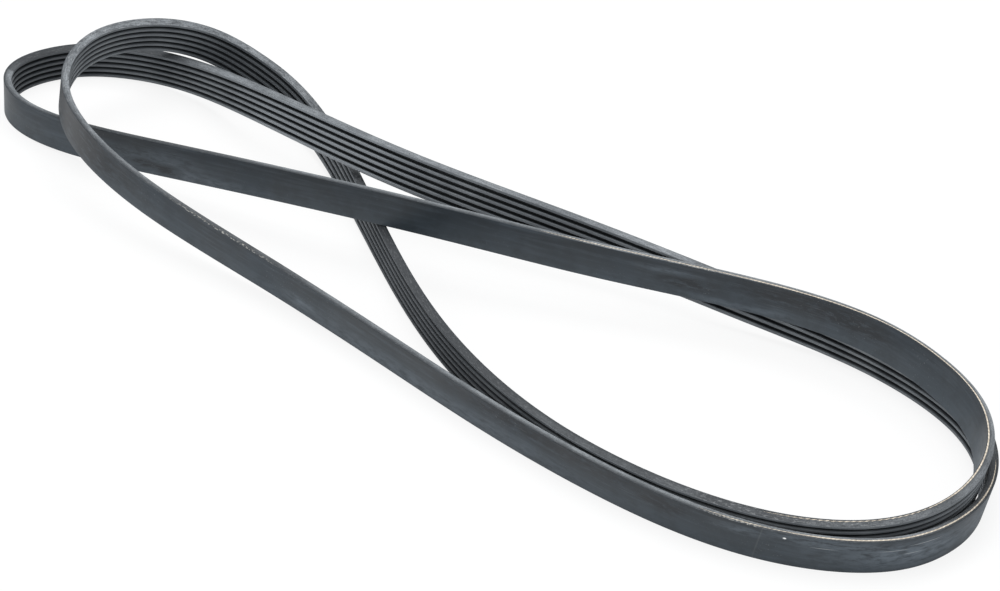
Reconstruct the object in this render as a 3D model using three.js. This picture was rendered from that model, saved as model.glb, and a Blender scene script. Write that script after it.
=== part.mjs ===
// A closed ribbed rubber drive belt, stood on its cut edge and folded into a
// loose bundle: two long loops that cross near one end and nest at the other.
// Millimetres, +Z up, the table at z = 0, the bundle's middle at x = y = 0.
import * as THREE from 'three';

// Section of the belt
const ribCount = 6;
const ribPitch = 3.56;
const beltThickness = 4.4; // smooth back to rib tips
const ribHeight = 2.3;
const grooveAngle = 40; // degrees between the two flanks of a groove
const grooveFloor = 0.6; // flat at the bottom of a groove

// Lie of the bundle
const bundleLength = 510; // along X, between the rib tips of the end bends
const stationCount = 228; // sections round the whole belt
const longestStep = 30; // between sections on a straight stretch
const turnPerStep = 7; // degrees between sections in a bend

const beltWidth = ribCount * ribPitch;
const flankWidth = ribHeight * Math.tan(THREE.MathUtils.degToRad(grooveAngle / 2));

// Guide points, in the order that a pulley would meet them. The belt's rib tips
// follow a smooth closed line drawn by these points, with the ribs on the left.
// Each holds x and y in millimetres as the bundle lies at its own length, the
// lift of the lower edge off the table in belt widths, and the lean in degrees
// of the upper edge towards the smooth back.
const leftBend = [
  [-262.5, 200.5, 0, -5],
  [-270, 186.5, 0, -2],
  [-269, 172, 0, -2],
  [-258, 154, 0, 0],
];
const frontStrand = [ // climbs over the second loop's far strand
  [-226, 128, 0.15, 0],
  [-159, 88, 0.65, 1],
  [-44, 25, 1.2, 4],
  [43, -6, 0.9, 3],
  [103, -25, 0.8, 5],
];
const innerBend = [ // raised, inside the outer bend, ribs outwards
  [156, -49, 0.85, 4],
  [196, -79, 0.95, -7],
  [222.5, -111, 0.9, -14],
  [240.3, -144.5, 0.84, -16],
  [242.3, -178, 0.68, -16],
  [230, -208, 0.5, -11],
  [205, -228, 0.35, -9],
  [165, -233.5, 0.2, -6],
  [103, -211.5, 0.05, -4],
];
const returnStrand = [ // lies on the table, under both strands of the first loop
  [21, -148.5, 0, 3],
  [-37, -58, 0, 2],
  [-69, 43, 0, 7],
  [-91, 118, 0, 14],
];
const raisedBend = [ // rests on the first loop
  [-113, 159, 0.3, 14],
  [-134, 183.5, 0.44, 13],
  [-160, 196, 0.99, 0],
  [-190, 195, 1.36, -13],
  [-217, 183, 1.45, -12],
  [-231, 163, 1.45, -12],
  [-236.5, 137, 1.3, -6],
  [-226, 103.5, 1.05, -3],
];
const nearStrand = [
  [-188, 58.3, 0.6, 0],
  [-118, 2.5, 0.1, 5],
  [-57, -61, 0, 4],
  [5, -131, 0, 4],
  [81, -199.6, 0, 6],
  [140, -229.8, 0, 7],
];
const outerBend = [ // on the table, ribs inwards
  [190, -235.3, 0, 10],
  [217.5, -220, 0, 11],
  [235, -198, 0, 14],
  [242, -162, 0, 15],
  [232, -119, 0, 10],
  [188, -68, 0, 2],
];
const farStrand = [ // climbs over the return strand, then comes down
  [132, -33, 0.15, 18],
  [49, 9, 0.75, 15],
  [-49, 52.5, 1.33, 26],
  [-120, 127.5, 0.86, 14],
  [-165, 186, 0.2, -1],
  [-203, 208.8, 0.02, -4],
  [-237, 212.7, 0, -6],
];
const guide = [
  ...leftBend, ...frontStrand, ...innerBend, ...returnStrand,
  ...raisedBend, ...nearStrand, ...outerBend, ...farStrand,
];

// Cubic weights of four neighbouring guide points, and the weights' slopes.
function blendWeights(u) {
  const v = 1 - u;
  return [v ** 3, 3 * u ** 3 - 6 * u * u + 4, 3 * v ** 3 - 6 * v * v + 4, u ** 3].map((w) => w / 6);
}

function slopeWeights(u) {
  const v = 1 - u;
  return [-v * v, 3 * u * u - 4 * u, 4 * v - 3 * v * v, u * u].map((w) => w / 2);
}

// Blend of the guide points round a parameter that counts guide points.
function blendGuide(parameter, weightsAt) {
  const whole = Math.floor(parameter);
  const weights = weightsAt(parameter - whole);
  const sum = [0, 0, 0, 0];
  weights.forEach((weight, k) => {
    const point = guide[(whole - 1 + k + guide.length) % guide.length];
    point.forEach((value, axis) => { sum[axis] += weight * value; });
  });
  return sum;
}

// Plan scale that brings the line of the rib tips to the bundle's length.
function findPlanScale() {
  const xs = [];
  for (let s = 0; s < guide.length; s += 0.05) xs.push(blendGuide(s, blendWeights)[0]);
  return bundleLength / (Math.max(...xs) - Math.min(...xs));
}

const planScale = findPlanScale();

function travelAt(parameter) {
  const [dx, dy, dLift] = blendGuide(parameter, slopeWeights);
  return new THREE.Vector3(dx * planScale, dy * planScale, dLift * beltWidth);
}

// Sections stand closer together where the belt bends: each step uses up the
// same share of the longest straight step and of the largest turn.
function placeStations() {
  const fineStep = 1 / 50;
  const effort = [0];
  let before = travelAt(0);
  for (let s = fineStep; s < guide.length + fineStep / 2; s += fineStep) {
    const here = travelAt(s);
    const turn = THREE.MathUtils.radToDeg(before.angleTo(here));
    effort.push(effort.at(-1) + (here.length() * fineStep) / longestStep + turn / turnPerStep);
    before = here;
  }
  const stations = [];
  let k = 0;
  for (let n = 0; n < stationCount; n += 1) {
    const wanted = (n / stationCount) * effort.at(-1);
    while (effort[k + 1] <= wanted) k += 1;
    stations.push((k + (wanted - effort[k]) / (effort[k + 1] - effort[k])) * fineStep);
  }
  return stations;
}

// Closed section as [height over the rib tips, place across the belt]: the back,
// one cut side, then each rib's flat tip and each groove's floor.
function drawSection() {
  const edge = beltWidth / 2;
  const section = [[beltThickness, -edge], [beltThickness, edge], [ribHeight, edge]];
  for (let rib = 0; rib < ribCount; rib += 1) {
    const middle = edge - (rib + 0.5) * ribPitch;
    const halfTip = (ribPitch - grooveFloor) / 2 - flankWidth;
    section.push([0, middle + halfTip], [0, middle - halfTip]);
    if (rib < ribCount - 1) {
      const groove = middle - ribPitch / 2;
      section.push([ribHeight, groove + grooveFloor / 2], [ribHeight, groove - grooveFloor / 2]);
    }
  }
  section.push([ribHeight, -edge]);
  return section;
}

// The section's corners in place, with its lowest corner at the stated lift.
function placeSection(section, parameter) {
  const [x, y, lift, lean] = blendGuide(parameter, blendWeights);
  const travel = travelAt(parameter).normalize();
  const across = new THREE.Vector3(0, 0, 1).addScaledVector(travel, -travel.z).normalize();
  across.applyAxisAngle(travel, THREE.MathUtils.degToRad(lean));
  const back = new THREE.Vector3().crossVectors(travel, across);
  const lowest = Math.min(...section.map(([a, b]) => a * back.z + b * across.z));
  const origin = new THREE.Vector3(x * planScale, y * planScale, lift * beltWidth - lowest);
  return section.map(([a, b]) => origin.clone().addScaledVector(back, a).addScaledVector(across, b));
}

// Skin over the closed row of sections.
function loftRings(rings) {
  const corners = rings[0].length;
  const faces = [];
  for (let i = 0; i < rings.length; i += 1) {
    const here = i * corners;
    const next = ((i + 1) % rings.length) * corners;
    for (let j = 0; j < corners; j += 1) {
      const k = (j + 1) % corners;
      faces.push(here + j, next + j, here + k, next + j, next + k, here + k);
    }
  }
  const geometry = new THREE.BufferGeometry().setFromPoints(rings.flat());
  geometry.setIndex(faces);
  return geometry;
}

function makeBelt() {
  const section = drawSection();
  const geometry = loftRings(placeStations().map((parameter) => placeSection(section, parameter)));
  geometry.computeBoundingBox();
  const middle = geometry.boundingBox.getCenter(new THREE.Vector3());
  geometry.translate(-middle.x, -middle.y, 0);
  geometry.computeVertexNormals();
  return geometry;
}

const rubber = new THREE.MeshStandardMaterial({
  color: 0x3d4245, roughness: 0.55, metalness: 0, flatShading: true,
});
const belt = new THREE.Mesh(makeBelt(), rubber);
belt.name = 'belt';

const part = new THREE.Group();
part.add(belt);
export default part;
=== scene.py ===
import math

import bpy
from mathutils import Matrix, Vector, noise


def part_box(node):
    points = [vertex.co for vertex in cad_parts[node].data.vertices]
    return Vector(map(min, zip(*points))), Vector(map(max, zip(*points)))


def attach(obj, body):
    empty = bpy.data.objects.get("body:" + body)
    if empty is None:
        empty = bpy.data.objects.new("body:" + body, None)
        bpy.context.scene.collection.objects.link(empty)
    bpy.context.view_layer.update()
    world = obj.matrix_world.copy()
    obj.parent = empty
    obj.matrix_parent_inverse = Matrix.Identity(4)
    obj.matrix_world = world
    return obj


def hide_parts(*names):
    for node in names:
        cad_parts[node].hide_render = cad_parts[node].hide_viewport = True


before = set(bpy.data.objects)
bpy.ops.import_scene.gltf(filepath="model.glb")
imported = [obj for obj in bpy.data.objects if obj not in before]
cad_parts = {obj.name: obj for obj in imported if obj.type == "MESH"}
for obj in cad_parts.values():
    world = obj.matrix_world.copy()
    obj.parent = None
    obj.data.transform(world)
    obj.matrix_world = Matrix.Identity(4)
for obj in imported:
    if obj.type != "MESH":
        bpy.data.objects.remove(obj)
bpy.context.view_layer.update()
bpy.ops.object.select_all(action="DESELECT")
scene = bpy.context.scene


# The section of the belt: a smooth rubber back over six ribs at the standard
# 3.56 mm pitch. The ribs are ground to 40 degree grooves with flat tips, and
# the two edges are cut square with a knife.
RIBS = 6
RIB_PITCH = 0.00356
THICKNESS = 0.0044
RIB_HEIGHT = 0.0023
GROOVE_ANGLE = 40
GROOVE_FLOOR = 0.0006
FLANK_WIDTH = RIB_HEIGHT * math.tan(math.radians(GROOVE_ANGLE / 2))
BELT_WIDTH = RIBS * RIB_PITCH
EDGE = BELT_WIDTH / 2
BACK_ROUNDING = 0.0003
RIB_ROUNDING = 0.00016
HAIR = 1e-5  # slack when a corner is found by its place


def section_corners():
    """Corners as (height over the rib tips, place across the belt)."""
    corners = [(THICKNESS, -EDGE), (THICKNESS, EDGE), (RIB_HEIGHT, EDGE)]
    for rib in range(RIBS):
        middle = EDGE - (rib + 0.5) * RIB_PITCH
        half_tip = (RIB_PITCH - GROOVE_FLOOR) / 2 - FLANK_WIDTH
        corners += [(0, middle + half_tip), (0, middle - half_tip)]
        if rib < RIBS - 1:
            groove = middle - RIB_PITCH / 2
            corners += [(RIB_HEIGHT, groove + GROOVE_FLOOR / 2),
                        (RIB_HEIGHT, groove - GROOVE_FLOOR / 2)]
    return corners + [(RIB_HEIGHT, -EDGE)]


def round_corners(mesh, radius, steps, wanted):
    """Bevels the corners of a flat outline whose place passes the test."""
    bpy.ops.object.mode_set(mode="OBJECT")
    for part in (mesh.edges, mesh.polygons):
        part.foreach_set("select", [False] * len(part))
    for vertex in mesh.vertices:
        vertex.select = wanted(vertex.co)
    bpy.ops.object.mode_set(mode="EDIT")
    bpy.ops.mesh.bevel(affect="VERTICES", offset=radius, segments=steps)
    bpy.ops.object.mode_set(mode="OBJECT")


def in_groove(corner):
    return abs(corner.x - RIB_HEIGHT) < HAIR and abs(corner.y) < EDGE - HAIR


outline = bpy.data.meshes.new("belt_section")
corners = section_corners()
outline.from_pydata([(height, side, 0) for height, side in corners], [],
                    [range(len(corners))])
section = bpy.data.objects.new("belt_section", outline)
scene.collection.objects.link(section)
section.select_set(True)
bpy.context.view_layer.objects.active = section
bpy.ops.object.mode_set(mode="EDIT")
bpy.ops.mesh.select_mode(type="VERT")
round_corners(outline, RIB_ROUNDING, 2, lambda corner: corner.x < HAIR)
round_corners(outline, RIB_ROUNDING, 1, in_groove)
round_corners(outline, BACK_ROUNDING, 4, lambda corner: corner.x > THICKNESS - HAIR)
bpy.ops.object.mode_set(mode="EDIT")
bpy.ops.mesh.select_all(action="SELECT")
bpy.ops.mesh.delete(type="ONLY_FACE")
bpy.ops.object.mode_set(mode="OBJECT")
bpy.ops.object.convert(target="CURVE")
profile = [(point.co.x, point.co.y) for point in section.data.splines[0].points]


# The belt: one endless band of moulded rubber, bent by hand into two long
# loops that cross at one end and nest at the other, and stood on its cut
# edge. It is swept along the same route as the solid.
STEPS_PER_GUIDE = 24
# Guide rows: x and y, lift of the lower edge off the table in belt widths, and
# lean of the upper edge towards the smooth back in degrees.
ROUTE = [
    # left bend
    (-0.2625, 0.2005, 0, -5), (-0.270, 0.1865, 0, -2), (-0.269, 0.172, 0, -2),
    (-0.258, 0.154, 0, 0),
    # front strand, climbing over the far strand of the second loop
    (-0.226, 0.128, 0.15, 0), (-0.159, 0.088, 0.65, 1), (-0.044, 0.025, 1.2, 4),
    (0.043, -0.006, 0.9, 3), (0.103, -0.025, 0.8, 5),
    # inner bend, raised, ribs outwards
    (0.156, -0.049, 0.85, 4), (0.196, -0.079, 0.95, -7), (0.2225, -0.111, 0.9, -14),
    (0.2403, -0.1445, 0.84, -16), (0.2423, -0.178, 0.68, -16), (0.230, -0.208, 0.5, -11),
    (0.205, -0.228, 0.35, -9), (0.165, -0.2335, 0.2, -6), (0.103, -0.2115, 0.05, -4),
    # return strand, on the table
    (0.021, -0.1485, 0, 3), (-0.037, -0.058, 0, 2), (-0.069, 0.043, 0, 7),
    (-0.091, 0.118, 0, 14),
    # raised bend, resting on the first loop
    (-0.113, 0.159, 0.3, 14), (-0.134, 0.1835, 0.44, 13), (-0.160, 0.196, 0.99, 0),
    (-0.190, 0.195, 1.36, -13), (-0.217, 0.183, 1.45, -12), (-0.231, 0.163, 1.45, -12),
    (-0.2365, 0.137, 1.3, -6), (-0.226, 0.1035, 1.05, -3),
    # near strand
    (-0.188, 0.0583, 0.6, 0), (-0.118, 0.0025, 0.1, 5), (-0.057, -0.061, 0, 4),
    (0.005, -0.131, 0, 4), (0.081, -0.1996, 0, 6), (0.140, -0.2298, 0, 7),
    # outer bend, ribs inwards
    (0.190, -0.2353, 0, 10), (0.2175, -0.220, 0, 11), (0.235, -0.198, 0, 14),
    (0.242, -0.162, 0, 15), (0.232, -0.119, 0, 10), (0.188, -0.068, 0, 2),
    # far strand, over the return strand and down again
    (0.132, -0.033, 0.15, 18), (0.049, 0.009, 0.75, 15), (-0.049, 0.0525, 1.33, 26),
    (-0.120, 0.1275, 0.86, 14), (-0.165, 0.186, 0.2, -1), (-0.203, 0.2088, 0.02, -4),
    (-0.237, 0.2127, 0, -6),
]


def tip_line_height(lift, lean):
    """Height of the rib tips at mid-width, over the table."""
    sine = math.sin(math.radians(lean))
    lowest_corner = max(THICKNESS * sine, RIB_HEIGHT * sine)
    return lift * BELT_WIDTH + EDGE * math.cos(math.radians(lean)) + lowest_corner


path = bpy.data.curves.new("belt_route", "CURVE")
path.dimensions = "3D"
path.twist_mode = "Z_UP"
path.resolution_u = STEPS_PER_GUIDE
line = path.splines.new("NURBS")
line.points.add(len(ROUTE) - 1)
for point, (x, y, lift, lean) in zip(line.points, ROUTE):
    point.co = (x, y, tip_line_height(lift, lean), 1)
    point.tilt = math.radians(lean)
line.order_u = 4
line.use_cyclic_u = True
path.bevel_mode = "OBJECT"
path.bevel_object = section
belt = bpy.data.objects.new("belt_rubber", path)
scene.collection.objects.link(belt)
bpy.ops.object.select_all(action="DESELECT")
belt.select_set(True)
bpy.context.view_layer.objects.active = belt
bpy.ops.object.convert(target="MESH")
belt.data.name = "belt_rubber"
bpy.data.objects.remove(section)

# The swept skin is set in the middle of the solid's footprint, on the table,
# where its lowest point touches as the solid's does.
low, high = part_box("belt")
places = [vertex.co.copy() for vertex in belt.data.vertices]
middle = [(min(p[k] for p in places) + max(p[k] for p in places)) / 2 for k in (0, 1)]
shift = Vector(((low[0] + high[0]) / 2 - middle[0],
                (low[1] + high[1]) / 2 - middle[1],
                low[2] - min(p.z for p in places)))
for vertex, place in zip(belt.data.vertices, places):
    vertex.co = place + shift

# Each ring of the skin is one section. From it come the distance round the
# belt and the directions that the wear and the cord line follow.
CORD_DEPTH = 0.0013  # from the smooth back to the cords
RING_CORNERS = len(profile)
rings = [[v.co.copy() for v in belt.data.vertices[k:k + RING_CORNERS]]
         for k in range(0, len(belt.data.vertices), RING_CORNERS)]
corner_numbers = range(RING_CORNERS)
back_low = min(corner_numbers, key=lambda j: (round(-profile[j][0], 6), profile[j][1]))
back_high = max(corner_numbers, key=lambda j: (round(profile[j][0], 6), profile[j][1]))
ribs_high = max(corner_numbers, key=lambda j: (profile[j][1], -profile[j][0]))


def ring_frame(ring):
    """Tip line point, direction to the back and direction across of a ring."""
    across = (ring[back_high] - ring[back_low]).normalized()
    height, side = profile[back_high]
    to_back = ring[back_high] - ring[ribs_high] - across * (side - profile[ribs_high][1])
    to_back = to_back.normalized()
    return ring[back_high] - to_back * height - across * side, to_back, across


frames = [ring_frame(ring) for ring in rings]
cord_places = [origin + back * (THICKNESS - CORD_DEPTH) for origin, back, across in frames]
run = [0.0]
for here, there in zip(cord_places, cord_places[1:] + cord_places[:1]):
    run.append(run[-1] + (there - here).length)

# The skin gets two maps, the distance round the belt and the place in its
# section. Its faces are sorted into the smooth back, with nine tenths of its
# rounding, the cut edges, with the slanted outer flanks, and the ribs.
ON_BACK, ON_CUT_EDGE, ON_RIBS = range(3)
back_from = THICKNESS - HAIR - BACK_ROUNDING * 0.9
cut_edge_from = EDGE - FLANK_WIDTH - GROOVE_FLOOR / 2 - HAIR
mesh = belt.data
while mesh.uv_layers:
    mesh.uv_layers.remove(mesh.uv_layers[0])
run_map = mesh.uv_layers.new(name="run")
section_map = mesh.uv_layers.new(name="section")
for face in mesh.polygons:
    face_rings = [index // RING_CORNERS for index in face.vertices]
    closes_loop = max(face_rings) - min(face_rings) > 1
    in_section = [profile[index % RING_CORNERS] for index in face.vertices]
    for loop, ring, (height, side) in zip(face.loop_indices, face_rings, in_section):
        distance = run[-1] if closes_loop and ring == 0 else run[ring]
        run_map.data[loop].uv = (distance, side)
        section_map.data[loop].uv = (height, side)
    heights = [height for height, side in in_section]
    if min(heights) > back_from:
        face.material_index = ON_BACK
    elif (min(abs(side) for height, side in in_section) > cut_edge_from
          and max(heights) > RIB_ROUNDING):
        face.material_index = ON_CUT_EDGE
    else:
        face.material_index = ON_RIBS

SHARPEST_SMOOTH_ANGLE = math.radians(40)
bpy.ops.object.mode_set(mode="EDIT")
bpy.ops.mesh.select_all(action="SELECT")
bpy.ops.mesh.normals_make_consistent(inside=False)
bpy.ops.object.mode_set(mode="OBJECT")
bpy.ops.object.shade_smooth_by_angle(angle=SHARPEST_SMOOTH_ANGLE)
even = belt.modifiers.new("even_shading", "WEIGHTED_NORMAL")
even.keep_sharp = True
bpy.ops.object.modifier_apply(modifier=even.name)


def start_material(name):
    """New node material, its shader and a short way to add nodes to it."""
    material = bpy.data.materials.new(name)
    material.use_nodes = True
    tree = material.node_tree
    shader = tree.nodes["Principled BSDF"]

    def add(kind, sockets=None, **settings):
        node = tree.nodes.new(kind)
        for key, value in settings.items():
            setattr(node, key, value)
        for key, value in (sockets or {}).items():
            if isinstance(value, bpy.types.NodeSocket):
                tree.links.new(value, node.inputs[key])
            else:
                node.inputs[key].default_value = value
        return node

    return material, tree, shader, add


def combine(add, how, first, second):
    """Two values put together by a maths node."""
    return add("ShaderNodeMath", {0: first, 1: second}, operation=how).outputs[0]


def strengthen(add, value, gain, top=1.0):
    """Value made stronger, up to a top."""
    return combine(add, "MINIMUM", combine(add, "MULTIPLY", value, gain), top)


def ramp(add, value, start, end, at_start=0.0, at_end=1.0):
    """Straight ramp between two values, level beyond them."""
    return add("ShaderNodeMapRange", {
        "Value": value, "From Min": start, "From Max": end,
        "To Min": at_start, "To Max": at_end}).outputs[0]


def pattern(add, place, scale, detail, rough, low, high):
    """Noise that is 0 where it lies under low, 1 over high, and soft between."""
    cloud = add("ShaderNodeTexNoise", {
        "Vector": place, "Scale": scale, "Detail": detail, "Roughness": rough})
    return add("ShaderNodeMapRange", {
        "Value": cloud.outputs["Fac"], "From Min": low, "From Max": high},
        interpolation_type="SMOOTHSTEP").outputs[0]


def streaks(add, place, scales, detail, rough, low, high):
    """The same noise, with one scale along the belt and another across it."""
    drawn = add("ShaderNodeMapping", {"Vector": place, "Scale": (*scales, 1)}).outputs[0]
    return pattern(add, drawn, 1, detail, rough, low, high)


def blend(add, share, under, over, strength=1.0):
    """Colour under another one, by a share that the strength scales."""
    if strength < 1:
        share = combine(add, "MULTIPLY", share, strength)
    return add("ShaderNodeMix", {0: share, 6: under, 7: over},
               data_type="RGBA", blend_type="MIX").outputs[2]


def spot(add, uv, centre, size):
    """Soft round patch on the belt: 1 at its centre, 0 at its rim."""
    moved = add("ShaderNodeMapping", {
        "Vector": uv, "Location": (-centre[0], -centre[1], 0)}).outputs[0]
    scaled = add("ShaderNodeMapping", {
        "Vector": moved, "Scale": (1 / size[0], 1 / size[1], 1)}).outputs[0]
    return add("ShaderNodeTexGradient", {"Vector": scaled},
               gradient_type="SPHERICAL").outputs["Fac"]


def spots(add, uv, places):
    """Sum of several patches, each as (centre, size)."""
    total = 0.0
    for centre, size in places:
        total = combine(add, "ADD", spot(add, uv, centre, size), total)
    return total


def roughen(add, tree, shader, place, scale, detail, rough, strength, depth):
    """Fine tooth of the rubber, as a bump."""
    tooth = add("ShaderNodeTexNoise", {
        "Vector": place, "Scale": scale, "Detail": detail, "Roughness": rough})
    bump = add("ShaderNodeBump", {
        "Height": tooth.outputs["Fac"], "Strength": strength, "Distance": depth})
    tree.links.new(bump.outputs[0], shader.inputs["Normal"])


# Smooth back: blue-black rubber that grows paler across the belt towards its
# lower edge, with smears along the belt, a few marks from handling and painted
# shade on the left of the raised bend. Its outer sheet has one slanted splice.
# Marks are ((metres round, metres across), (reach along, reach across)).
DARK_SMUDGES_AND_SHADE = [((0.122, -0.004), (0.013, 0.004)), ((0.137, -0.006), (0.012, 0.005)),
                ((0.500, 0.005), (0.050, 0.009)), ((0.440, -0.001), (0.022, 0.006)),
                ((0.540, 0.003), (0.030, 0.008)), ((1.905, 0.004), (0.016, 0.006)),
                # The marks at 1.460 and 1.485 metres round are painted shade on the left of
                # the raised bend.
                ((1.835, 0.008), (0.120, 0.008)), ((1.460, 0.002), (0.050, 0.018)),
                ((1.485, 0.003), (0.060, 0.014))]
PALE_SMUDGES = [((0.461, -0.0085), (0.024, 0.0030)), ((0.487, -0.0075), (0.018, 0.0030)),
                ((0.430, 0.0045), (0.024, 0.0032)), ((0.165, -0.0080), (0.050, 0.0045)),
                ((0.130, -0.0030), (0.045, 0.0110)), ((0.668, 0.0000), (0.030, 0.0140)),
                ((1.740, -0.0070), (0.170, 0.0085)), ((1.945, 0.0060), (0.020, 0.0040)),
                ((2.045, -0.0010), (0.045, 0.0110)), ((2.090, 0.0000), (0.030, 0.0160)),
                ((1.985, 0.0080), (0.040, 0.0050)), ((2.020, 0.0010), (0.050, 0.0130)),
                ((1.648, -0.0030), (0.014, 0.0050))]
SCRATCHES = [((2.040, 0.0062), (0.011, 0.00022)), ((2.033, 0.0008), (0.006, 0.00022)),
             ((2.024, 0.0040), (0.009, 0.00020)), ((1.990, 0.0045), (0.008, 0.00018))]
CHIP = ((1.971, 0.0076), (0.0010, 0.0006))
SPLICE, SPLICE_SLANT = 1.957, 0.28
SPLICE_CORE, SPLICE_RIM = 0.0001, 0.0006  # half widths of its line
PALING_FROM, PALING_FULL = 0.0085, -0.0100  # places across the belt
BLACK_RUBBER, FADED_RUBBER = (0.015, 0.021, 0.027, 1), (0.025, 0.034, 0.044, 1)
LOWER_EDGE_PALE = (0.060, 0.076, 0.091, 1)
SMEAR = (0.060, 0.077, 0.095, 1)
BLOTCH = (0.016, 0.021, 0.026, 1)
PALE_SMUDGE = (0.105, 0.128, 0.152, 1)
DARK_SMUDGE_AND_SHADE = (0.013, 0.016, 0.020, 1)
RUBBED_LINE = (0.15, 0.165, 0.18, 1)
LINT = (0.24, 0.25, 0.26, 1)
SCRATCH = (0.36, 0.38, 0.39, 1)
CHIPPED = (0.85, 0.86, 0.86, 1)
SPLICED = (0.105, 0.112, 0.115, 1)
back_rubber, tree, shader, add = start_material("belt_back")
uv = add("ShaderNodeUVMap", uv_map="run").outputs[0]
place = add("ShaderNodeTexCoord").outputs["Object"]
split = add("ShaderNodeSeparateXYZ", {0: uv}).outputs
round_belt, across_belt = split[0], split[1]
clouds = pattern(add, place, 22, detail=3, rough=0.55, low=0.36, high=0.70)
blotches = pattern(add, place, 95, detail=3, rough=0.6, low=0.42, high=0.66)
smears = streaks(add, uv, (24, 330), detail=3, rough=0.6, low=0.42, high=0.72)
ragged = streaks(add, uv, (130, 420), detail=3, rough=0.65, low=0.30, high=0.62)
lines = combine(add, "MULTIPLY",
                streaks(add, uv, (40, 3400), detail=2, rough=0.6, low=0.60, high=0.74),
                pattern(add, place, 16, detail=1, rough=0.5, low=0.46, high=0.64))
lint = combine(add, "MULTIPLY",
               pattern(add, place, 1100, detail=1, rough=0.5, low=0.68, high=0.75),
               pattern(add, place, 26, detail=1, rough=0.5, low=0.48, high=0.70))
colour = blend(add, clouds, BLACK_RUBBER, FADED_RUBBER)
# Paler across the belt towards its lower edge.
paling = ramp(add, across_belt, PALING_FROM, PALING_FULL, at_end=0.62)
colour = blend(add, paling, colour, LOWER_EDGE_PALE)
colour = blend(add, smears, colour, SMEAR, strength=0.45)
colour = blend(add, blotches, colour, BLOTCH, strength=0.32)
patches = combine(add, "MULTIPLY", spots(add, uv, PALE_SMUDGES), ragged)
colour = blend(add, patches, colour, PALE_SMUDGE, strength=0.70)
# Dark smudges, and painted shade on the left of the raised bend.
patches = combine(add, "MULTIPLY", spots(add, uv, DARK_SMUDGES_AND_SHADE), ragged)
patches = strengthen(add, patches, gain=1.5, top=0.9)
colour = blend(add, patches, colour, DARK_SMUDGE_AND_SHADE)
colour = blend(add, lines, colour, RUBBED_LINE, strength=0.40)
colour = blend(add, lint, colour, LINT, strength=0.28)
scratches = strengthen(add, spots(add, uv, SCRATCHES), gain=1.5, top=0.7)
colour = blend(add, scratches, colour, SCRATCH)
chip = strengthen(add, spot(add, uv, *CHIP), gain=3.0)
colour = blend(add, chip, colour, CHIPPED)
slant = combine(add, "MULTIPLY", across_belt, SPLICE_SLANT)
past_splice = combine(add, "SUBTRACT", combine(add, "SUBTRACT", round_belt, slant), SPLICE)
beside = combine(add, "ABSOLUTE", past_splice, 0.0)
seam = ramp(add, beside, SPLICE_CORE, SPLICE_RIM, at_start=0.30, at_end=0.0)
colour = blend(add, seam, colour, SPLICED)
tree.links.new(colour, shader.inputs["Base Color"])
dullness = ramp(add, clouds, 0, 1, at_start=0.42, at_end=0.58)
tree.links.new(dullness, shader.inputs["Roughness"])
shader.inputs["Specular IOR Level"].default_value = 0.35
roughen(add, tree, shader, place, 2600, detail=2, rough=0.5, strength=0.12, depth=0.00012)

# Cut edges: knife-cut rubber, chalky grey over the ribs and dark in the layer
# that holds the cords, with drag marks, pores and torn flecks. It is dull where
# hands have rubbed it, and in places the ends of fibres stick out.
ROUGH_CUT = [((1.310, 0.010), (0.200, 0.030)), ((0.440, 0.010), (0.030, 0.030)),
             ((1.945, 0.010), (0.030, 0.030)), ((0.790, 0.010), (0.070, 0.030))]
DULL_CUT = [((0.950, 0.010), (0.340, 0.060)), ((1.590, 0.010), (0.080, 0.030)),
            ((0.135, 0.010), (0.080, 0.030)), ((2.105, 0.010), (0.060, 0.030)),
            ((2.740, 0.010), (0.080, 0.060))]
DARK_CUT = [((1.080, 0.010), (0.190, 0.060)), ((2.750, 0.010), (0.070, 0.060))]
CHALKY_CUT = [((1.315, 0.010), (0.155, 0.030)), ((2.480, 0.010), (0.240, 0.030)),
              ((0.430, 0.010), (0.070, 0.030))]
FRAYED_CUT = [((1.590, 0.010), (0.044, 0.030)), ((0.443, 0.010), (0.018, 0.030)),
              ((1.945, 0.010), (0.016, 0.030))]
CORDS_FROM, CORDS_FULL = 0.0018, 0.0038  # heights over the rib tips
FRAY_FROM, FRAY_FULL = 0.0026, 0.0034
CHALK_GREY, PALE_CHALK = (0.175, 0.190, 0.205, 1), (0.290, 0.310, 0.330, 1)
DULL_GREY, WORN_GREY = (0.062, 0.067, 0.073, 1), (0.125, 0.134, 0.143, 1)
HANDLED_BLACK = (0.036, 0.039, 0.043, 1)
DRAG_MARK = (0.070, 0.076, 0.082, 1)
CORD_LAYER = (0.034, 0.039, 0.044, 1)
TORN = (0.050, 0.054, 0.059, 1)
FLECK = (0.42, 0.43, 0.44, 1)
PORE = (0.030, 0.033, 0.037, 1)
FIBRE_END = (0.43, 0.42, 0.39, 1)


def stretches(add, uv, places):
    """Soft stretches of the belt, 1 over their middle half."""
    return strengthen(add, spots(add, uv, places), gain=2.0)


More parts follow.
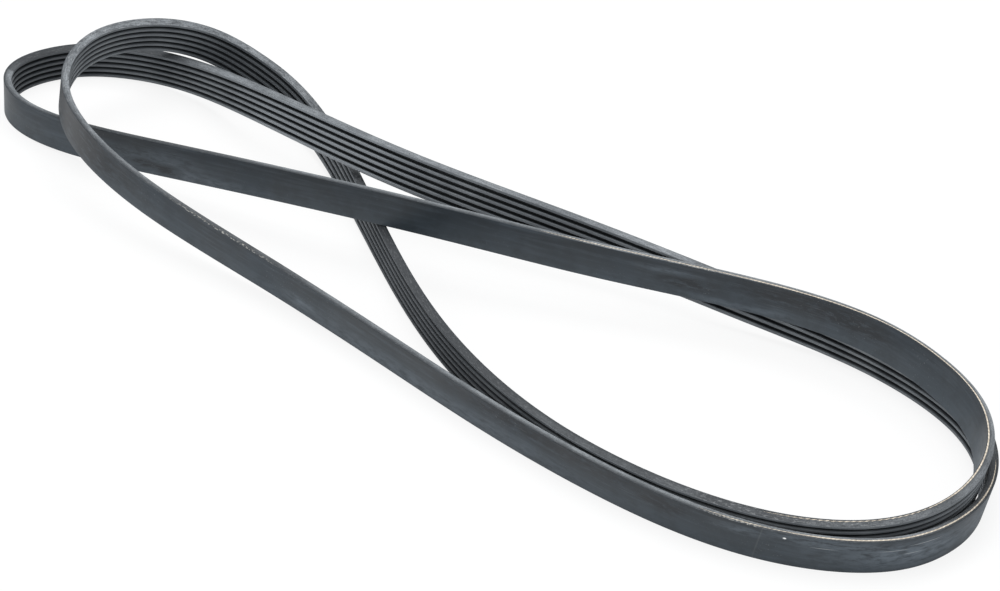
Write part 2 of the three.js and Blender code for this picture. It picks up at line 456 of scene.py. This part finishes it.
cut_rubber, tree, shader, add = start_material("belt_cut_edge")
uv = add("ShaderNodeUVMap", uv_map="run").outputs[0]
in_section = add("ShaderNodeUVMap", uv_map="section").outputs[0]
place = add("ShaderNodeTexCoord").outputs["Object"]
height = add("ShaderNodeSeparateXYZ", {0: in_section}).outputs[0]
round_belt = add("ShaderNodeSeparateXYZ", {0: uv}).outputs[0]
on_edge = add("ShaderNodeCombineXYZ", {0: round_belt, 1: height}).outputs[0]
clouds = pattern(add, place, 45, detail=3, rough=0.6, low=0.34, high=0.68)
drag = streaks(add, on_edge, (150, 1700), detail=3, rough=0.65, low=0.40, high=0.62)
torn = streaks(add, on_edge, (170, 900), detail=3, rough=0.75, low=0.50, high=0.58)
flecks = streaks(add, on_edge, (330, 1500), detail=2, rough=0.6, low=0.54, high=0.64)
fibres = streaks(add, on_edge, (620, 1100), detail=2, rough=0.6, low=0.52, high=0.60)
pores = pattern(add, place, 1400, detail=2, rough=0.6, low=0.50, high=0.62)
ragged = stretches(add, uv, ROUGH_CUT)
torn = combine(add, "MULTIPLY", torn,
               ramp(add, ragged, 0, 1, at_start=0.20, at_end=0.60))
flecks = combine(add, "MULTIPLY", flecks,
                 ramp(add, ragged, 0, 1, at_start=0.10, at_end=0.35))
colour = blend(add, clouds, CHALK_GREY, PALE_CHALK)
dull = blend(add, clouds, DULL_GREY, WORN_GREY)
colour = blend(add, stretches(add, uv, DULL_CUT), colour, dull)
colour = blend(add, stretches(add, uv, DARK_CUT), colour, HANDLED_BLACK, strength=0.85)
colour = blend(add, drag, colour, DRAG_MARK, strength=0.42)
chalk = stretches(add, uv, CHALKY_CUT)
layer = combine(add, "MULTIPLY", ramp(add, height, CORDS_FROM, CORDS_FULL, at_end=0.93),
                ramp(add, chalk, 0, 1, at_start=1.0, at_end=0.25))
colour = blend(add, layer, colour, CORD_LAYER)
colour = blend(add, torn, colour, TORN)
colour = blend(add, flecks, colour, FLECK)
colour = blend(add, pores, colour, PORE, strength=0.42)
fibres = combine(add, "MULTIPLY", fibres, ramp(add, height, FRAY_FROM, FRAY_FULL))
fibres = combine(add, "MULTIPLY", fibres, stretches(add, uv, FRAYED_CUT))
colour = blend(add, fibres, colour, FIBRE_END, strength=0.72)
tree.links.new(colour, shader.inputs["Base Color"])
shader.inputs["Roughness"].default_value = 0.75
shader.inputs["Specular IOR Level"].default_value = 0.3
roughen(add, tree, shader, place, 1100, detail=3, rough=0.65, strength=0.6, depth=0.0004)

# Ribs: ground rubber. The tips and the upper part of each flank are dull and
# grey from the wheel; deeper down, painted shade darkens the flanks to black
# towards the groove floors.
RIBS_IN_DUST = [((2.570, 0.000), (0.090, 0.040))]
RIBS_HANDLED = [((2.775, 0.000), (0.060, 0.060)), ((1.060, 0.000), (0.130, 0.060)),
                ((1.285, 0.000), (0.055, 0.040))]
GREY_TO, GROOVE_SHADE_FROM = 0.0002, 0.0012  # depths below the rib tips
GROUND_GREY, PALE_GROUND = (0.125, 0.137, 0.150, 1), (0.19, 0.205, 0.22, 1)
GRINDING_LINE = (0.09, 0.098, 0.105, 1)
DUST = (0.25, 0.27, 0.29, 1)
HANDLED_TIP = (0.060, 0.067, 0.075, 1)
GROOVE_SHADE, FLANK_SHADE = (0.009, 0.011, 0.013, 1), (0.018, 0.021, 0.024, 1)
rib_rubber, tree, shader, add = start_material("belt_ribs")
uv = add("ShaderNodeUVMap", uv_map="run").outputs[0]
in_section = add("ShaderNodeUVMap", uv_map="section").outputs[0]
place = add("ShaderNodeTexCoord").outputs["Object"]
depth = add("ShaderNodeSeparateXYZ", {0: in_section}).outputs[0]
clouds = pattern(add, place, 40, detail=2, rough=0.5, low=0.35, high=0.68)
grinding = streaks(add, uv, (160, 5200), detail=2, rough=0.6, low=0.40, high=0.66)
tips = blend(add, clouds, GROUND_GREY, PALE_GROUND)
tips = blend(add, grinding, tips, GRINDING_LINE, strength=0.4)
tips = blend(add, stretches(add, uv, RIBS_IN_DUST), tips, DUST, strength=0.8)
tips = blend(add, stretches(add, uv, RIBS_HANDLED), tips, HANDLED_TIP, strength=0.8)
# Painted shade deep in the grooves, over the flanks towards their floor.
groove_shading = blend(add, clouds, GROOVE_SHADE, FLANK_SHADE)
out_of_groove_shade = ramp(add, depth, GREY_TO, GROOVE_SHADE_FROM, at_start=1.0, at_end=0.0)
colour = blend(add, out_of_groove_shade, groove_shading, tips)
tree.links.new(colour, shader.inputs["Base Color"])
shader.inputs["Roughness"].default_value = 0.6
shader.inputs["Specular IOR Level"].default_value = 0.3
roughen(add, tree, shader, place, 1900, detail=2, rough=0.5, strength=0.2, depth=0.00015)

for rubber in (back_rubber, cut_rubber, rib_rubber):
    mesh.materials.append(rubber)
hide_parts("belt")
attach(belt, "root")


# Cord line: the belt is cut from a wide sleeve that is wound with polyester
# cord, and the knife slices slowly through one turn of it. Where it does, the
# twisted cord shows as a tan line in the cut edge, near the smooth back.
CORD_WIDTH = 0.00092
CORD_CROWN = 0.00010
LOWEST_CROWN = 0.35  # share of the crown that stays between two twists
FULL_CROWN_WIDTH = 0.0003
PROUD = 0.00004  # of the cut edge, and sunk as deep at the two rims
POINTS_ACROSS = 5
STEPS_PER_TWIST = 6
TWIST_SLANT = 2.2  # radians from rim to rim
WANDER, WANDERS_PER_METRE = 0.00006, 90
# Stretches of bare cord: side of the belt, start and end in metres round the
# belt, heights over the rib tips at both, share of the full width, length over
# which each end fades, length of one twist and the share left at its waist.
BARE_CORD = [
    (1, 0.360, 0.475, 0.0030, 0.0033, 0.85, 0.030, 0.0020, 0.25),
    (1, 0.455, 0.570, 0.0033, 0.0036, 1.00, 0.025, 0.0024, 0.80),
    (1, 0.550, 0.715, 0.0036, 0.0036, 1.00, 0.020, 0.0024, 0.90),
    (1, 0.700, 0.797, 0.0035, 0.0028, 0.85, 0.030, 0.0032, 0.10),
    (1, 1.925, 1.985, 0.0029, 0.0028, 0.75, 0.030, 0.0024, 0.30),
    (1, 1.965, 2.112, 0.0028, 0.0028, 1.00, 0.030, 0.0024, 0.90),
    (-1, 1.270, 1.500, 0.0031, 0.0031, 0.70, 0.080, 0.0024, 0.60),
    (-1, 2.300, 2.560, 0.0031, 0.0031, 0.70, 0.080, 0.0024, 0.60),
]


def belt_place(distance):
    """Tip line point, direction to the back and direction across there."""
    distance %= run[-1]
    here = max(k for k in range(len(frames)) if run[k] <= distance)
    there = (here + 1) % len(frames)
    share = (distance - run[here]) / (run[here + 1] - run[here])
    return [first.lerp(second, share) for first, second in zip(frames[here], frames[there])]


corners, faces, marks = [], [], []
for side, start, end, low_end, high_end, share, fade, twist, waist in BARE_CORD:
    count = int((end - start) / twist * STEPS_PER_TWIST)
    first = len(corners)
    for k in range(count + 1):
        distance = start + (end - start) * k / count
        height = low_end + (high_end - low_end) * k / count
        origin, back, across = belt_place(distance)
        ends = min(1, (distance - start) / fade, (end - distance) / fade)
        width = CORD_WIDTH * share * math.sqrt(max(0, ends))
        turn = 2 * math.pi * distance / twist
        wander = WANDER * noise.noise(Vector((distance * WANDERS_PER_METRE, side, 0)))
        for step in range(POINTS_ACROSS):
            offset = step / (POINTS_ACROSS - 1) - 0.5
            swell = 0.5 + 0.5 * math.cos(turn + TWIST_SLANT * offset * side)
            crown = (1 - (2 * offset) ** 2) * (LOWEST_CROWN + (1 - LOWEST_CROWN) * swell)
            rise = PROUD if 0 < step < POINTS_ACROSS - 1 else -PROUD
            rise += CORD_CROWN * crown * min(1, width / FULL_CROWN_WIDTH)
            reach = width * (waist + (1 - waist) * swell)
            corners.append(origin + back * (height + wander + offset * reach)
                           + across * side * (EDGE + rise))
            marks.append((turn / (2 * math.pi), offset * side))
    for k in range(count):
        for step in range(POINTS_ACROSS - 1):
            a = first + k * POINTS_ACROSS + step
            quad = (a, a + 1, a + POINTS_ACROSS + 1, a + POINTS_ACROSS)
            faces.append(quad if side < 0 else quad[::-1])

cord_mesh = bpy.data.meshes.new("cord_line")
cord_mesh.from_pydata(corners, [], faces)
cord_map = cord_mesh.uv_layers.new(name="run")
for loop in cord_mesh.loops:
    cord_map.data[loop.index].uv = marks[loop.vertex_index]
cord_mesh.shade_smooth()
cord_line = bpy.data.objects.new("cord_line", cord_mesh)
scene.collection.objects.link(cord_line)

# Its yarn is pale tan polyester, brighter along the fibres, with brown shade
# between the twists and dark rubber dust rubbed into it.
TAN_YARN, PALE_YARN = (0.60, 0.51, 0.40, 1), (0.84, 0.77, 0.66, 1)
RUBBER_DUST = (0.20, 0.17, 0.145, 1)
TWIST_SHADE = (0.16, 0.125, 0.095, 1)
TWIST_BANDS = (2 * math.pi / 20, 0.12, 1)  # scales for one band a turn
cord_yarn, tree, shader, add = start_material("bare_cord")
uv = add("ShaderNodeUVMap", uv_map="run").outputs[0]
place = add("ShaderNodeTexCoord").outputs["Object"]
turned = add("ShaderNodeMapping", {"Vector": uv, "Scale": TWIST_BANDS}).outputs[0]
gaps = add("ShaderNodeTexWave", {"Vector": turned, "Scale": 1.0, "Distortion": 0.4},
           bands_direction="X").outputs["Fac"]
grime = pattern(add, place, 170, detail=2, rough=0.6, low=0.42, high=0.66)
fibre = pattern(add, place, 3200, detail=2, rough=0.6, low=0.40, high=0.62)
colour = blend(add, fibre, TAN_YARN, PALE_YARN)
colour = blend(add, grime, colour, RUBBER_DUST, strength=0.35)
colour = blend(add, gaps, colour, TWIST_SHADE, strength=0.30)
tree.links.new(colour, shader.inputs["Base Color"])
shader.inputs["Roughness"].default_value = 0.85
shader.inputs["Specular IOR Level"].default_value = 0.2
cord_mesh.materials.append(cord_yarn)
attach(cord_line, "root")


# Table: a plain white matt tabletop that the belt stands on. To the camera it
# is nearly pure white, and it keeps a little of the belt's shadow.
TABLE_SIZE = 8
TABLE_WHITE = (0.86, 0.86, 0.86, 1)
GLOW_SEEN, GLOW_MIRRORED = 0.85, 0.5
bpy.ops.mesh.primitive_plane_add(size=TABLE_SIZE, location=(0, 0, 0))
table = bpy.context.object
table.name = "table"
white, tree, shader, add = start_material("white_table")
shader.inputs["Base Color"].default_value = TABLE_WHITE
shader.inputs["Roughness"].default_value = 0.9
shader.inputs["Specular IOR Level"].default_value = 0.0
rays = add("ShaderNodeLightPath").outputs
glow = add("ShaderNodeEmission", {"Color": (1, 1, 1, 1), "Strength": 1.0})
seen = combine(add, "MULTIPLY", rays["Is Camera Ray"], GLOW_SEEN)
mirrored = combine(add, "ADD", rays["Is Glossy Ray"], rays["Is Transmission Ray"])
mirrored = combine(add, "MULTIPLY", mirrored, GLOW_MIRRORED)
share = combine(add, "ADD", seen, mirrored)
mixed = add("ShaderNodeMixShader", {0: share, 1: shader.outputs[0], 2: glow.outputs[0]})
tree.links.new(mixed.outputs[0], tree.nodes["Material Output"].inputs["Surface"])
table.data.materials.append(white)

# Light tent: white cloth all round, which lights the belt evenly and is pure
# white where the camera sees it past the table.
TENT_LIGHT = (0.95, 0.98, 1, 1)
TENT_STRENGTH = 0.55
world = bpy.data.worlds.new("light_tent")
scene.world = world
world.use_nodes = True
nodes, links = world.node_tree.nodes, world.node_tree.links
tent = nodes["Background"]
tent.inputs["Color"].default_value = TENT_LIGHT
tent.inputs["Strength"].default_value = TENT_STRENGTH
backdrop = nodes.new("ShaderNodeBackground")
backdrop.inputs["Strength"].default_value = 1.0
backdrop.inputs["Color"].default_value = (1, 1, 1, 1)
rays = nodes.new("ShaderNodeLightPath").outputs
either = nodes.new("ShaderNodeMath")
either.operation = "MAXIMUM"
links.new(rays["Is Camera Ray"], either.inputs[0])
links.new(rays["Is Transmission Ray"], either.inputs[1])
choose = nodes.new("ShaderNodeMixShader")
links.new(either.outputs[0], choose.inputs[0])
links.new(tent.outputs[0], choose.inputs[1])
links.new(backdrop.outputs[0], choose.inputs[2])
links.new(choose.outputs[0], nodes["World Output"].inputs["Surface"])

# Lamps: one large soft lamp above and behind the belt, and a weak one low on
# each side. Rows hold the name, the place, the size and the power in watts.
LAMPS = [("lamp_above", (0.1, 0.5, 2.2), 1.8, 46),
         ("lamp_left", (-1.8, -0.6, 1.1), 1.2, 10),
         ("lamp_right", (1.7, -1.1, 0.9), 1.2, 7)]
for name, lamp_place, size, power in LAMPS:
    lamp = bpy.data.lights.new(name, "AREA")
    lamp.shape = "SQUARE"
    lamp.size = size
    lamp.energy = power
    holder = bpy.data.objects.new(name, lamp)
    holder.location = lamp_place
    holder.rotation_euler = (-Vector(lamp_place)).to_track_quat("-Z", "Y").to_euler()
    scene.collection.objects.link(holder)

# Camera: a long lens in front of the belt. It looks down from about 35 degrees
# above the table and shows the belt from end to end.
CAMERA_PLACE = (0.0139, -2.1438, 1.5060)
CAMERA_RISE = 34.9466
LENS_LENGTH, SENSOR_WIDTH = 180.9, 36
lens = bpy.data.cameras.new("photo_camera")
lens.sensor_width = SENSOR_WIDTH
lens.lens = LENS_LENGTH
lens.clip_end = 50
camera = bpy.data.objects.new("photo_camera", lens)
camera.location = CAMERA_PLACE
camera.rotation_euler = (math.radians(90 - CAMERA_RISE), 0, 0)
scene.collection.objects.link(camera)
scene.camera = camera
scene.view_settings.view_transform = "Standard"
